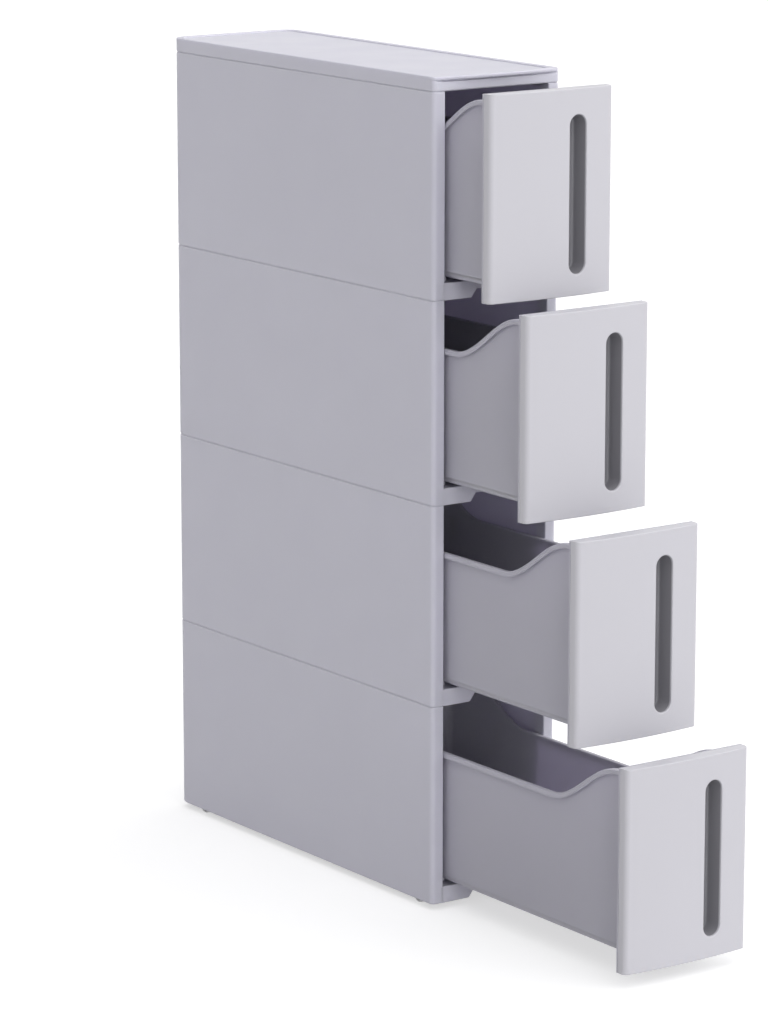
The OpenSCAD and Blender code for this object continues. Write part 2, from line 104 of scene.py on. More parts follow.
class TowerColours(bpy.types.PropertyGroup):
    """Colours of the plastics"""

    # Partly painted shade: the violet that the casings' shaded sides take is put into this plastic's colour
    casing: bpy.props.FloatVectorProperty(
        name="Casing", description="Plastic of the lid and the casings", subtype="COLOR", size=3,
        min=0.0, max=1.0, default=(0.655, 0.646, 0.735))
    # Partly painted shade: the bin plastic is set darker than the casings', for the shade on the bin walls
    # beside the fronts and inside the bins
    tub: bpy.props.FloatVectorProperty(
        name="Bin", description="Plastic of the bins", subtype="COLOR", size=3,
        min=0.0, max=1.0, default=(0.490, 0.482, 0.545))
    cover: bpy.props.FloatVectorProperty(
        name="Front", description="Plastic of the drawer fronts", subtype="COLOR", size=3,
        min=0.0, max=1.0, default=(0.600, 0.592, 0.638))
    cup: bpy.props.FloatVectorProperty(
        name="Handle cup", description="Plastic of the handle cups", subtype="COLOR", size=3,
        min=0.0, max=1.0, default=(0.270, 0.266, 0.290))
    wheel: bpy.props.FloatVectorProperty(
        name="Wheel", description="Plastic of the wheels and axles", subtype="COLOR", size=3,
        min=0.0, max=1.0, default=(0.87, 0.87, 0.88))


# Outlines and sections


def node_box(node):
    """A node's lowest and highest corner, in millimetres."""
    return tuple(np.array(corner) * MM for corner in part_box(node))


def quarter(count, start=0.0):
    """The shares 1 - cos and 1 - sin of the angles from start to a quarter turn."""
    angle = np.linspace(start, QUARTER, count)
    return list(zip(1 - np.cos(angle), 1 - np.sin(angle)))


def unit(vectors):
    """Each vector divided by its length."""
    return vectors / np.maximum(np.linalg.norm(vectors, axis=-1, keepdims=True), 1e-12)


def rounded(corners, radii, steps=4, support=0.4, closed=True):
    """A polygon whose corners become arcs. An arc of radius r touches both sides at r*tan(turn/2) from the
    corner; its points are the two touching radii mixed by sines. Extra points just beyond each arc keep the
    flats flat under smooth shading, where there is room for them."""
    least_gap = 0.02
    corners = np.asarray(corners, float)
    count = len(corners)
    out = []
    for i in range(count):
        here = corners[i]
        if not closed and i in (0, count - 1) or radii[i] <= 0:
            out.append(here[None])
            continue
        before = here - corners[i - 1]
        after = corners[(i + 1) % count] - here
        room = min(np.linalg.norm(before), np.linalg.norm(after))
        into, away = unit(before), unit(after)
        turn = math.acos(float(np.clip(into @ away, -1, 1)))
        reach = radii[i] * math.tan(turn / 2)
        middle = here + unit(away - into) * radii[i] / math.cos(turn / 2)
        first, last = here - into * reach - middle, here + away * reach - middle
        k = np.linspace(0, 1, steps + 1)[:, None]
        arc = middle + (np.sin((1 - k) * turn) * first + np.sin(k * turn) * last) / math.sin(turn)
        gap = min(support, (room / 2 - reach) * 0.5)
        if gap > least_gap:
            arc = np.vstack([arc[:1] - into * gap, arc, arc[-1:] + away * gap])
        out.append(arc)
    return np.vstack(out)


def inset(outline, depth):
    """A closed anticlockwise outline moved inwards: each point goes along the mean of its two sides' normals,
    lengthened so that the sides move by exactly that depth."""
    ahead = unit(np.roll(outline, -1, 0) - outline)
    behind = np.roll(ahead, 1, 0)
    normal = unit(np.stack([-(ahead + behind)[:, 1], (ahead + behind)[:, 0]], 1))
    stretch = 1 / np.maximum(np.abs((normal * np.stack([-ahead[:, 1], ahead[:, 0]], 1)).sum(1)), 0.5)
    return outline + normal * (depth * stretch)[:, None]


def wide_arc(half, bow, r):
    """A bowed front's wide arc: its radius, and its turn from the middle to a corner arc of radius r."""
    wide = (half ** 2 + bow ** 2) / (2 * bow)
    return wide, math.asin((half - r) / (wide - r))


def plan_loop(half, front, back, r_front, r_back, bow=0.0, stations=None, across=12, corner=6):
    """A plan outline, anticlockwise from the front's left end: a front that is straight or lies on one wide
    arc, two corner arcs that touch it, straight sides and a round-cornered back. The stations are the shares
    of a side's length at which it has points."""
    stations = np.linspace(0, 1, 9) if stations is None else np.asarray(stations, float)
    k = np.linspace(-1, 1, across + 1)[:-1]
    if bow:
        wide, tilt = wide_arc(half, bow, r_front)
        centre_y = front + wide - math.sqrt((wide - r_front) ** 2 - (half - r_front) ** 2)
        face = np.stack([wide * np.sin(k * tilt), front + wide - wide * np.cos(k * tilt)], 1)
    else:
        tilt, centre_y = 0.0, front + r_front
        face = np.stack([k * (half - r_front), np.full_like(k, front)], 1)

    def arc(x, y, r, start, stop):
        angle = np.linspace(start, stop, corner + 1)[:-1]
        return np.stack([x + r * np.cos(angle), y + r * np.sin(angle)], 1)

    side = centre_y + stations[:-1] * (back - r_back - centre_y)
    rear = np.linspace(1, -1, across + 1)[:-1] * (half - r_back)
    return np.vstack([
        face,
        arc(half - r_front, centre_y, r_front, tilt - QUARTER, 0),
        np.stack([np.full_like(side, half), side], 1),
        arc(half - r_back, back - r_back, r_back, 0, QUARTER),
        np.stack([rear, np.full_like(rear, back)], 1),
        arc(r_back - half, back - r_back, r_back, QUARTER, 2 * QUARTER),
        np.stack([np.full_like(side, -half), back - r_back - stations[:-1] * (back - r_back - centre_y)], 1),
        arc(r_front - half, centre_y, r_front, 2 * QUARTER, 3 * QUARTER - tilt),
    ])


def skin(levels, joined=False, flip=False):
    """Loops of points stacked in order, with quads between neighbours. The first and last loops are closed by
    a face each, or joined to one another."""
    rows, around = levels.shape[:2]
    i = np.arange(rows if joined else rows - 1)[:, None]
    j = np.arange(around)[None]
    up, on = (i + 1) % rows, (j + 1) % around
    quads = np.stack([i * around + j, i * around + on, up * around + on, up * around + j], -1).reshape(-1, 4)
    faces = quads.tolist()
    if not joined:
        faces.append(list(range(around - 1, -1, -1)))
        faces.append(list(range((rows - 1) * around, rows * around)))
    if flip:
        faces = [face[::-1] for face in faces]
    return levels.reshape(-1, 3), faces


def turned(flat, along, axis):
    """Points of a flat drawing and their distance along the third axis, as x, y, z."""
    a, b = flat[..., 0], flat[..., 1]
    along = np.broadcast_to(along, a.shape)
    order = {"x": (along, a, b), "y": (a, along, b), "z": (a, b, along)}[axis]
    return np.stack(order, -1)


def prism(outline, low, high, axis, ease=0.5, steps=3):
    """An outline carried straight along one axis, with its two end edges rounded: near an end the outline
    moves in by ease*(1 - sin) while it still has ease*(1 - cos) to go."""
    height, depth = ease * np.transpose(quarter(steps + 1))
    depth = np.concatenate([[2 * ease], depth, depth[::-1], [2 * ease]])
    along = np.concatenate([[0], height, (high - low) - height[::-1], [high - low]]) + low
    levels = np.stack([turned(inset(outline, d), h, axis) for d, h in zip(depth, along)])
    return skin(levels, flip=axis == "y")


def bar(low, high, ease=0.5):
    """A straight bar with rounded edges between two corners, carried along its longest side."""
    low, high = np.asarray(low, float), np.asarray(high, float)
    axis = int(np.argmax(high - low))
    a, b = {0: (1, 2), 1: (0, 2), 2: (0, 1)}[axis]
    ease = min(ease, 0.24 * (high - low)[[a, b]].min())
    corners = [(low[a], low[b]), (high[a], low[b]), (high[a], high[b]), (low[a], high[b])]
    return prism(rounded(corners, [ease * 2] * 4, 3), low[axis], high[axis], "xyz"[axis], ease)


def spun(section, centre, count=64):
    """A closed section of radius and distance turned about an axis along x: y = r*cos, z = r*sin."""
    angle = np.linspace(0, 2 * math.pi, count, endpoint=False)
    radius, along = section[:, 0][:, None], section[:, 1][:, None]
    along = np.broadcast_to(along, (len(section), count))
    return np.stack([along, radius * np.cos(angle), radius * np.sin(angle)], -1) + np.asarray(centre, float)


# Slot and panel loops, drawn as the front shows them: x to the right, z up


class Panel:
    """The upright panel of a drawer front and the loops between its handle slot and its edge. A point of the
    panel's edge is joined to the slot's middle line; the slot's loop of radius r lies r along that join."""

    def __init__(self, half, height, slot_x, spine_low, spine_high):
        self.half, self.height, self.slot_x = half, height, slot_x
        self.spine = (spine_low, spine_high)
        # Shares of the panel's half width and height, closer together near its corners
        ends = np.sin(np.linspace(0, QUARTER, 7)) * 0.075 + 0.925
        across = np.concatenate([-ends[::-1], np.linspace(-0.9, 0.9, 31), ends])
        upright = np.concatenate([[0.0, 0.006, 0.02], np.linspace(0.05, 0.95, 37), [0.98, 0.994, 1.0]])
        across, upright = across[:-1], upright[:-1]
        flat, tall = np.ones(len(across)), np.ones(len(upright))
        self.share_x = np.concatenate([across, tall, -across, -tall])
        self.share_z = np.concatenate([0 * flat, upright, flat, 1 - upright])

    def edge(self, side, end):
        """The panel's edge, moved in by side at the left and right and by end at the top and bottom."""
        return np.stack([self.share_x * (self.half - side), end + self.share_z * (self.height - 2 * end)], 1)

    def slot(self, radius):
        """The slot's outline, widened to the given radius."""
        rim = self.edge(0, 0)
        spine = np.stack([np.full(len(rim), self.slot_x), np.clip(rim[:, 1], *self.spine)], 1)
        return spine + unit(rim - spine) * radius


def bowed_face(x, half, depth, bow, r):
    """Where a bowed front's surface lies at x: on the wide arc up to its touching point, then on the corner's
    arc of radius r."""
    x = np.minimum(np.abs(x), half)
    wide, _ = wide_arc(half, bow, r)
    centre_x = half - r
    centre_y = wide - depth - math.sqrt((wide - r) ** 2 - centre_x ** 2)
    touch = centre_x * wide / (wide - r)
    arc = wide - depth - np.sqrt(wide ** 2 - x ** 2)
    corner = centre_y - np.sqrt(np.maximum(r ** 2 - np.maximum(x - centre_x, 0) ** 2, 0))
    return np.where(x < touch, arc, corner)


# Plastics


# Each plastic: its colour's setting, cloudiness, lowest and highest roughness, the grain's scale and depth,
# the depth of the flow's waves, and how much light its thin walls let through
PLASTICS = {
    # The casing plastic's violet tint is partly painted shade, from the violet of the shaded sides
    "casing_skin_painted_violet_shade": ("casing", 0.018, (0.40, 0.52), (1500.0, 0.10), 0.05, 0.38),
    # The bin plastic is darker than the casing's: painted shade on the bins' walls and insides
    "bin_skin_painted_shade": ("tub", 0.018, (0.38, 0.50), (1700.0, 0.08), 0.05, 0.8),
    "front_skin": ("cover", 0.012, (0.30, 0.40), (2200.0, 0.04), 0.04, 0.0),
    "cup_skin": ("cup", 0.03, (0.42, 0.55), (1300.0, 0.14), 0.04, 0.0),
    "wheel_skin": ("wheel", 0.012, (0.24, 0.34), (2400.0, 0.03), 0.03, 0.0),
}


def fill(node, values):
    """Sets some of a shader node's inputs."""
    for key, value in values.items():
        node.inputs[key].default_value = value


def add_node(nodes, kind, values=None, operation=None):
    """A new shader node of a kind, with some of its inputs set."""
    made = nodes.new("ShaderNode" + kind)
    if operation:
        made.operation = operation
    fill(made, values or {})
    return made


def moulded_skin_group():
    """Shader group: the skin of a moulding. It has fine grain from the mould, slow waves of the flow, which
    change the gloss too, and a slight cloudiness of the colour."""
    tree = bpy.data.node_groups.get("moulded_skin")
    if tree:
        return tree
    tree = bpy.data.node_groups.new("moulded_skin", "ShaderNodeTree")
    new_socket = tree.interface.new_socket
    new_socket(name="Colour", in_out="INPUT", socket_type="NodeSocketColor")
    for name, value, top in (("Cloudiness", 0.02, 0.3), ("Gloss Low", 0.38, 1.0), ("Gloss High", 0.5, 1.0),
                             ("Grain Size", 1400.0, 10000.0), ("Grain Depth", 0.04, 1.0),
                             ("Wave Depth", 0.03, 1.0)):
        made = new_socket(name=name, in_out="INPUT", socket_type="NodeSocketFloat")
        made.default_value, made.min_value, made.max_value = value, 0.0, top
    for name, kind in (("Colour", "Color"), ("Roughness", "Float"), ("Normal", "Vector")):
        new_socket(name=name, in_out="OUTPUT", socket_type="NodeSocket" + kind)
    nodes, link = tree.nodes, tree.links.new
    given, result = nodes.new("NodeGroupInput"), nodes.new("NodeGroupOutput")
    place = add_node(nodes, "TexCoord")

    def noise(scale, detail, roughness):
        made = add_node(nodes, "TexNoise", {"Scale": scale, "Detail": detail, "Roughness": roughness})
        link(place.outputs["Object"], made.inputs["Vector"])
        return made

    cloud, flow, grain = noise(9.0, 4.0, 0.5), noise(26.0, 2.0, 0.4), noise(1400.0, 2.0, 0.6)
    link(given.outputs["Grain Size"], grain.inputs["Scale"])

    shift = add_node(nodes, "MapRange", {"To Min": -1.0})
    link(cloud.outputs["Fac"], shift.inputs["Value"])
    amount = add_node(nodes, "Math", {2: 1.0}, "MULTIPLY_ADD")
    link(shift.outputs["Result"], amount.inputs[0])
    link(given.outputs["Cloudiness"], amount.inputs[1])
    tinted = add_node(nodes, "VectorMath", operation="SCALE")
    link(given.outputs["Colour"], tinted.inputs[0])
    link(amount.outputs[0], tinted.inputs["Scale"])
    link(tinted.outputs[0], result.inputs["Colour"])

    gloss = add_node(nodes, "MapRange", {"From Min": 0.3, "From Max": 0.7})
    link(flow.outputs["Fac"], gloss.inputs["Value"])
    link(given.outputs["Gloss Low"], gloss.inputs["To Min"])
    link(given.outputs["Gloss High"], gloss.inputs["To Max"])
    link(gloss.outputs["Result"], result.inputs["Roughness"])

    wave, fine = (add_node(nodes, "Bump", {"Distance": distance}) for distance in (0.004, 0.0004))
    for bump, depth, height in ((wave, "Wave Depth", flow), (fine, "Grain Depth", grain)):
        link(given.outputs[depth], bump.inputs["Strength"])
        link(height.outputs["Fac"], bump.inputs["Height"])
    link(wave.outputs["Normal"], fine.inputs["Normal"])
    link(fine.outputs["Normal"], result.inputs["Normal"])
    return tree


def plastic(name):
    """A plastic of the list, made of the moulded skin with its own values."""
    made = bpy.data.materials.get(name)
    if made:
        return made
    setting, cloudiness, gloss, grain, wave, milk = PLASTICS[name]
    colour = getattr(bpy.context.scene.tower_colours, setting)
    made = bpy.data.materials.new(name)
    made.use_nodes = True
    nodes, link = made.node_tree.nodes, made.node_tree.links.new
    shader = nodes["Principled BSDF"]
    fill(shader, {"IOR": 1.5, "Subsurface Weight": milk, "Subsurface Scale": 0.005,
                  "Subsurface Radius": (1.0, 0.95, 1.05)})
    surface = nodes.new("ShaderNodeGroup")
    surface.node_tree = moulded_skin_group()
    fill(surface, {"Colour": (*colour, 1.0), "Cloudiness": cloudiness, "Gloss Low": gloss[0],
                   "Gloss High": gloss[1], "Grain Size": grain[0], "Grain Depth": grain[1],
                   "Wave Depth": wave})
    for given, taken in (("Colour", "Base Color"), ("Roughness", "Roughness"), ("Normal", "Normal")):
        link(surface.outputs[given], shader.inputs[taken])
    made.diffuse_color = (*colour, 1.0)
    return made


# Pieces


def make_piece(name, shells, material, body, node):
    """One object of several closed shells, smooth but for its sharp edges. It rides on its body and stands for
    the given node."""
    points, faces, start = [], [], 0
    for shell_points, shell_faces in shells:
        points.append(shell_points)
        faces.extend([[index + start for index in face] for face in shell_faces])
        start += len(shell_points)
    mesh = bpy.data.meshes.new(name)
    mesh.from_pydata((np.vstack(points) / MM).tolist(), [], faces)
    mesh.validate()
    mesh.polygons.foreach_set("use_smooth", np.ones(len(mesh.polygons), bool))
    mesh.set_sharp_from_angle(angle=SHARP_EDGE)
    mesh.materials.append(plastic(material))
    mesh.update()
    piece = bpy.data.objects.new(name, mesh)
    bpy.context.scene.collection.objects.link(piece)
    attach(piece, body)
    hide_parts(node)


def casing_shells(sizes, base, front, half, depth, height, lowest):
    """A casing: a C-shaped wall carried upwards, with a groove at each end, its floor, front rail, runners,
    upstand and, on the lowest one, the ears of the axles. An ear is a drawing carried along x: a block with a
    round seat that is open below."""
    wall, stile, seam = sizes.wall * MM, sizes.stile * MM, sizes.seam * MM
    r_front, r_back = sizes.front_round * MM, sizes.back_round * MM
    frame_t, return_depth, return_t = 3.0, 14.0, 2.0
    opening = half - stile
    right = [(opening, 0), (half, 0), (half, depth)]
    inner = [(opening, return_depth), (opening + return_t, return_depth), (opening + return_t, frame_t),
             (half - wall, frame_t), (half - wall, depth - wall)]
    corners = right + [(-x, y) for x, y in right[::-1]] + [(-x, y) for x, y in inner] + inner[::-1]
    outer_r, inner_r = [1.0, r_front, r_back], [0.6, 0.6, 0.5, 1.2, r_back - wall]
    plan = rounded(corners, outer_r + outer_r[::-1] + inner_r + inner_r[::-1], 6)
    x, y = np.abs(plan[:, 0]), plan[:, 1]
    skin_t = 1.2
    from_bend = np.hypot(np.maximum(x - half + r_back, 0), np.maximum(y - depth + r_back, 0))
    outside = (x > half - skin_t) | (y > depth - skin_t)
    outside |= (x > half - r_front - 0.5) & (y < r_front + 0.1)
    outside |= (from_bend > r_back - skin_t) & (y > depth - r_back)

    def grooved(d):
        """The plan with only its outer side moved in by d, and its front straight back by d."""
        flat = np.where(outside[:, None], inset(plan, d), plan)
        return np.stack([flat[:, 0], np.maximum(flat[:, 1], d)], 1)

    depths = np.array([seam + 0.2, seam, seam, seam * 0.75, seam * 0.3, 0.06 * seam, 0.0, 0.0])
    heights = np.array([0.0, 0.0, 0.45, 0.65, 0.8, 1.0, 1.25, 1.8])
    depths = np.concatenate([depths, depths[::-1]])
    heights = np.concatenate([heights, height - heights[::-1]])
    origin = np.array([0.0, front, base])
    parts = [skin(np.stack([turned(grooved(d), h, "z") for d, h in zip(depths, heights)]))]

    floor_low, floor_top, rail, into_wall, into_rail = 13.0, 15.2, 16.0, 0.8, 1.0
    floor_half, floor_back = half - wall + into_wall, depth - wall + into_wall
    floor_plan = plan_loop(floor_half, frame_t - into_rail, floor_back, 1.5, r_back - wall)
    parts.append(prism(floor_plan, floor_low, floor_top, "z", 0.2))
    notch = [(-29.0, 0.0), (-23.0, 8.0), (23.0, 8.0), (29.0, 0.0)]
    end = opening + 1.0
    rail_corners = [(-end, 0.0), *notch, (end, 0.0), (end, rail), (-end, rail)]
    rail_outline = rounded(rail_corners, [0.6] + [1.5] * 4 + [0.6] * 3, 4)
    parts.append(prism(rail_outline, 0.0, frame_t, "y", 0.28, 4))

    start, stop = return_depth + frame_t, depth - wall - 8.0
    runner, guide = (47.5, 3.0, 19.7), (54.3, 2.0, 25.0)
    for side in (-1, 1):
        for middle, width, top in (runner, guide):
            low = (side * middle - width / 2, start, floor_low + 0.5)
            parts.append(bar(low, (side * middle + width / 2, stop, top), 0.4))

    gap, thick, root = 0.3, 1.8, 6.0
    ring_out, ring_in = half - wall - gap, half - wall - gap - thick
    ring_back = depth - wall - gap
    upright = [(ring_out, start), (ring_out, ring_back)]
    inward = [(ring_in, start), (ring_in, ring_back - thick)]
    ring = upright + [(-x, y) for x, y in upright[::-1]] + [(-x, y) for x, y in inward] + inward[::-1]
    bend = r_back - wall - gap
    ring = rounded(ring, [0.5, bend, bend, 0.5, 0.5, bend - thick, bend - thick, 0.5], 6)
    parts.append(prism(ring, height - root, height + UPSTAND, "z", 0.22))
    into_ring, into_wall, web_top = 0.5, 0.6, height - 0.6
    for side in (-1, 1):
        x = sorted((side * (ring_out - into_ring), side * (half - wall + into_wall)))
        parts.append(bar((x[0], start, height - root), (x[1], depth - r_back, web_top), 0.2))
    low = (-half + r_back, ring_back - into_ring, height - root)
    parts.append(bar(low, (half - r_back, depth - wall + into_wall, web_top), 0.2))

    if lowest:
        seat_z, seat_r, mouth, ear_half, ear_top, lift = 3.0, 2.55, 2.1, 5.5, 14.0, 0.3
        ear_t, wheel_gap = 2.2, 0.5
        meet = math.asin(mouth / seat_r)
        angle = np.linspace(3 * QUARTER - meet, meet - QUARTER, 17)
        seat = np.stack([seat_r * np.cos(angle), seat_z + seat_r * np.sin(angle)], 1)
        before = [(-ear_half, ear_top), (-ear_half, lift), (-mouth, lift), tuple(seat[0])]
        after = [tuple(seat[-1]), (mouth, lift), (ear_half, lift), (ear_half, ear_top)]
        ear = np.vstack([rounded(before, [0, 1.2, 0.4, 0], 4, closed=False)[:-1], seat,
                         rounded(after, [0, 0.4, 1.2, 0], 4, closed=False)[1:]])
        for wheel in WHEELS:
            low, high = node_box("wheel_" + wheel)
            middle = (low + high) / 2
            for side in (-1, 1):
                inner_face = middle[0] + side * ((high[0] - low[0]) / 2 + wheel_gap)
                ends = sorted((inner_face, inner_face + side * ear_t))
                parts.append(prism(ear + [middle[1] - front, 0.0], *ends, "x", 0.15, 2))
    return [(points + origin, faces) for points, faces in parts]


class TOWER_OT_casings(bpy.types.Operator):
    """Builds the four casings, each with its opening, rail, floor and runners"""

    bl_idname = "tower.casings"
    bl_label = "Casings"

    def execute(self, context):
        sizes = context.scene.tower_sizes
        for tier in TIERS:
            node = f"casing_{tier}"
            low, high = node_box(node)
            depth, height, lowest = high[1] - low[1], high[2] - low[2] - UPSTAND, tier == TIERS[-1]
            shells = casing_shells(sizes, low[2], low[1], high[0], depth, height, lowest)
            make_piece(node + "_moulding", shells, "casing_skin_painted_violet_shade", "tower", node)
        return {"FINISHED"}


def lid_shells(sizes, base, front, half, depth, height):
    """The lid, as one skin: under its plate, down the inside of its skirt, up the outside, into the groove,
    out under the bowed lip, over the border and down to the plate. Under the lip a loop is the lip's outer
    loop, mixed at the front with its own inset."""
    wall, seam, hang = sizes.wall * MM, sizes.seam * MM, sizes.lid_overhang * MM
    r_front, r_back = sizes.front_round * MM, sizes.back_round * MM
    border, border_h, plate_t, lip_t, lip_r = 7.5, 1.3, 2.4, 3.3, 6.0
    skirt_t, inner_r, groove_end, groove_fade = 3.0, 1.3, 3.0, 4.0
    stations = np.concatenate([[0.0, 0.004], np.linspace(0.05, 0.95, 10), [0.996, 1.0]])

    def loop(d, front_y, r_one, r_two, bow=0.0):
        return plan_loop(half - d, front_y, depth - d, r_one, r_two, bow, stations, 24, 8)

    def skirt(d):
        return loop(d, d, max(r_front - d, 0.6), max(r_back - d, 0.6))

    def lip(d):
        bow = hang * (half - d) ** 2 / half ** 2
        return loop(d, d - hang, max(lip_r - d, 0.8), max(r_back - d, 0.8), bow)

    def inside(d):
        return loop(wall + d, skirt_t + d, inner_r, r_back - wall - d)

    outer = lip(0)
    ahead = np.clip((lip_r - outer[:, 1]) / lip_r, 0, 1)
    ahead = (ahead * ahead * (3 - 2 * ahead))[:, None]

    def lip_mixed(d):
        """The lip's loop moved in by d at the front only."""
        return outer * (1 - ahead) + lip(d) * ahead

    plate_top, under = height - border_h, height - lip_t
    plate_low = plate_top - plate_t
    levels = [(inside(d), z) for d, z in (
        (3.0, plate_low), (0.5, plate_low), (0.12, plate_low - 0.12), (0, plate_low - 0.5), (0, 0.5),
        (-0.15, 0.1), (-0.4, 0.0))]
    levels += [(skirt(d), z) for d, z in (
        (seam + 0.3, 0.0), (seam, 0.05), (seam * 0.8, 0.35), (seam * 0.3, 0.7), (0, 1.0), (0, 1.5))]

    def groove(d):
        """The skirt's loop moved in by d at the front, for the groove under the lip, but not at its ends."""
        flat = skirt(0)
        share = np.clip((lip_r - flat[:, 1]) / lip_r, 0, 1)
        share = share * np.clip((half - groove_end - np.abs(flat[:, 0])) / groove_fade, 0, 1)
        return flat + np.stack([0 * share, d * share], 1)

    levels += [(groove(d), under - down) for d, down in (
        (0, 2.5), (0.2, 2.0), (1.8, 1.8), (2.2, 1.4), (2.2, 0.3))]
    levels += [(lip_mixed(d), under + up) for d, up in ((1.2, -0.1), (0.7, 0.0), (0.2, 0.25), (0.0, 0.8))]
    edge = 1.1
    levels += [(lip(edge * inward), height - edge * down) for inward, down in quarter(6)]
    levels += [(lip(edge + 0.4), height)]
    levels += [(lip(border - out), height - down) for out, down in (
        (1.0, 0.0), (0.6, 0.0), (0.25, 0.08), (0.05, 0.3), (0.0, 0.7))]
    levels += [(lip(border + more), plate_top + up) for more, up in (
        (0.0, 0.45), (0.12, 0.12), (0.45, 0.0), (1.2, 0.0))]
    points, faces = skin(np.stack([turned(flat, z, "z") for flat, z in levels]))
    return [(points + [0.0, front, base], faces)]


class TOWER_OT_lid(bpy.types.Operator):
    """Builds the lid with its raised border and bowed lip"""

    bl_idname = "tower.lid"
    bl_label = "Lid"

    def execute(self, context):
        sizes = context.scene.tower_sizes
        low, high = node_box("lid")
        front = low[1] + sizes.lid_overhang * MM
        shells = lid_shells(sizes, low[2], front, high[0], high[1] - front, high[2] - low[2])
        make_piece("lid_moulding", shells, "casing_skin_painted_violet_shade", "tower", "lid")
        return {"FINISHED"}


def rim_height(y, length, high):
    """A bin's top edge at y: a hump at the front, a long low level and a rise at the back. Each change of
    height is half a cosine wave."""
    fall, level, run, back_level = 43.5, 17.0, 100.0, 20.0

    def ease(k):
        return (1 - np.cos(math.pi * np.clip(k, 0, 1))) / 2

    y = np.minimum(y, length)
    rise = fall * ease((y - (length - back_level - run)) / run)
    return high - fall * ease((y - level) / run) + rise


def bin_shell(sizes, length):
    """A bin as one skin over a round-cornered plan: from the middle of its bottom out over the stepped foot,
    up the sloping wall, over the rolled rim that follows the S-curves, and down the inside to the floor. A
    level of the rim hangs below the curve by its depth, times the root of 1 + slope^2."""
    width, drop = sizes.rim_width * MM, sizes.rim_drop * MM
    half, high, wall, foot, rim_t, fillet = 55.5, 172.0, 2.0, 6.0, 1.8, 4.0
    draft, step, foot_r, floor_t = 1.0, 2.0, 3.0, 2.2
    low = -draft - step
    shoulder = -draft * (1 - foot / high)
    front_out, front_in, r_front, r_back = -1.1, 0.4, 3.0, 8.0
    stations = np.linspace(0, 1, 97)

    def loop(d, ahead=front_out):
        """The plan moved out by d at the sides and back, with its front at ahead."""
        return plan_loop(half + d, ahead, length + d, max(r_front + d, 0.8), max(r_back + d, 0.8), 0.0,
                         stations, 12, 6)

    def level(d, z, ahead=front_out):
        return turned(loop(d, ahead), z, "z")

    def rim_level(d, below, ahead=front_out):
        flat = loop(d, ahead)
        top = rim_height(flat[:, 1], length, high)
        slope = rim_height(flat[:, 1] + 0.5, length, high) - rim_height(flat[:, 1] - 0.5, length, high)
        return turned(flat, top - below * np.sqrt(1 + slope ** 2), "z")

    levels = [level(low - 8.0, 0.0), level(low - foot_r - 0.6, 0.0)]
    levels += [level(low - foot_r * inward, foot_r * rise) for rise, inward in quarter(6)]
    levels += [level(d, z) for d, z in (
        (low, foot_r + 0.6), (low, foot - 0.5), (low + 0.15, foot - 0.12), (low + 0.5, foot),
        (shoulder - 0.4, foot), (shoulder - 0.1, foot + 0.12), (shoulder, foot + 0.5),
        (shoulder, foot + 1.2))]
    for k in (0.25, 0.5, 0.75):
        flat = loop(shoulder + 0.66 * k)
        top = rim_height(flat[:, 1], length, high) - drop
        levels.append(turned(flat, foot + (top - foot) * k, "z"))
    lip, hem, bead = width - rim_t, 0.8, rim_t / 2
    levels += [rim_level(out, below) for out, below in (
        (-0.3, drop * 0.9), (-0.3, rim_t + 1.1), (-0.2, rim_t + 0.5), (0.25, rim_t + 0.05),
        (lip - 0.35, rim_t), (lip - 0.05, rim_t + 0.2), (lip, rim_t + 0.7), (lip, drop - hem))]
    for angle in np.linspace(0, math.pi, 7):
        out = width - bead - bead * math.cos(angle)
        levels.append(rim_level(out, drop - hem + hem * math.sin(angle)))
    edge, inner_edge = 1.3, 1.0
    levels += [rim_level(width - less, below) for less, below in (
        (0.0, drop - 1.3), (0.0, 2.6), (0.12, 2.3), (0.32, 2.1), (0.38, 1.9))]
    levels += [rim_level(width - 0.35 - edge * inward, edge * below) for inward, below in quarter(5, 0.15)]
    levels += [rim_level(width - edge - 0.9, 0.0), rim_level(-0.6, 0.0)]
    for angle in np.linspace(QUARTER, math.pi, 5)[1:]:
        out = -wall + inner_edge + inner_edge * math.cos(angle)
        levels.append(rim_level(out, inner_edge - inner_edge * math.sin(angle), front_in))
    levels.append(rim_level(-wall, 1.6, front_in))
    for k in (0.25, 0.5, 0.75):
        flat = loop(-wall - 0.7 * k, front_in)
        top = rim_height(flat[:, 1], length, high)
        levels.append(turned(flat, top + (fillet + floor_t - top) * k, "z"))
    inner = -wall + shoulder
    levels.append(level(inner, fillet + floor_t + 0.8, front_in))
    levels += [level(inner - fillet * inward, floor_t + fillet * rise, front_in)
               for inward, rise in quarter(8)]
    levels += [level(inner - fillet - more, floor_t, front_in) for more in (0.6, 8.0)]
    return skin(np.stack(levels))


def plate_shell(panel, thick, window):
    """The plate that closes a bin at the front: loops from the window over the front, round the edge and back
    over the rear to the window."""
    ease, edge_in, slot_out = 0.5, 2.0, 1.2
    turn = [(ease * a, ease * b) for a, b in quarter(4)]
    levels = [(panel.slot(window + out), back - thick) for back, out in turn[::-1]]
    slot, flat_edge = panel.slot(window + slot_out), panel.edge(edge_in, edge_in)
    between = [slot + (flat_edge - slot) * k for k in (0.0, 0.3, 0.65, 1.0)]
    levels += [(flat, -thick) for flat in between]
    levels += [(panel.edge(inward, inward), back - thick) for back, inward in turn]
    levels += [(panel.edge(inward, inward), -back) for back, inward in turn[::-1]]
    levels += [(flat, 0.0) for flat in between[::-1]]
    levels += [(panel.slot(window + ease), 0.0), (panel.slot(window), -ease)]
    return skin(np.stack([turned(flat, y, "y") for flat, y in levels]), joined=True)


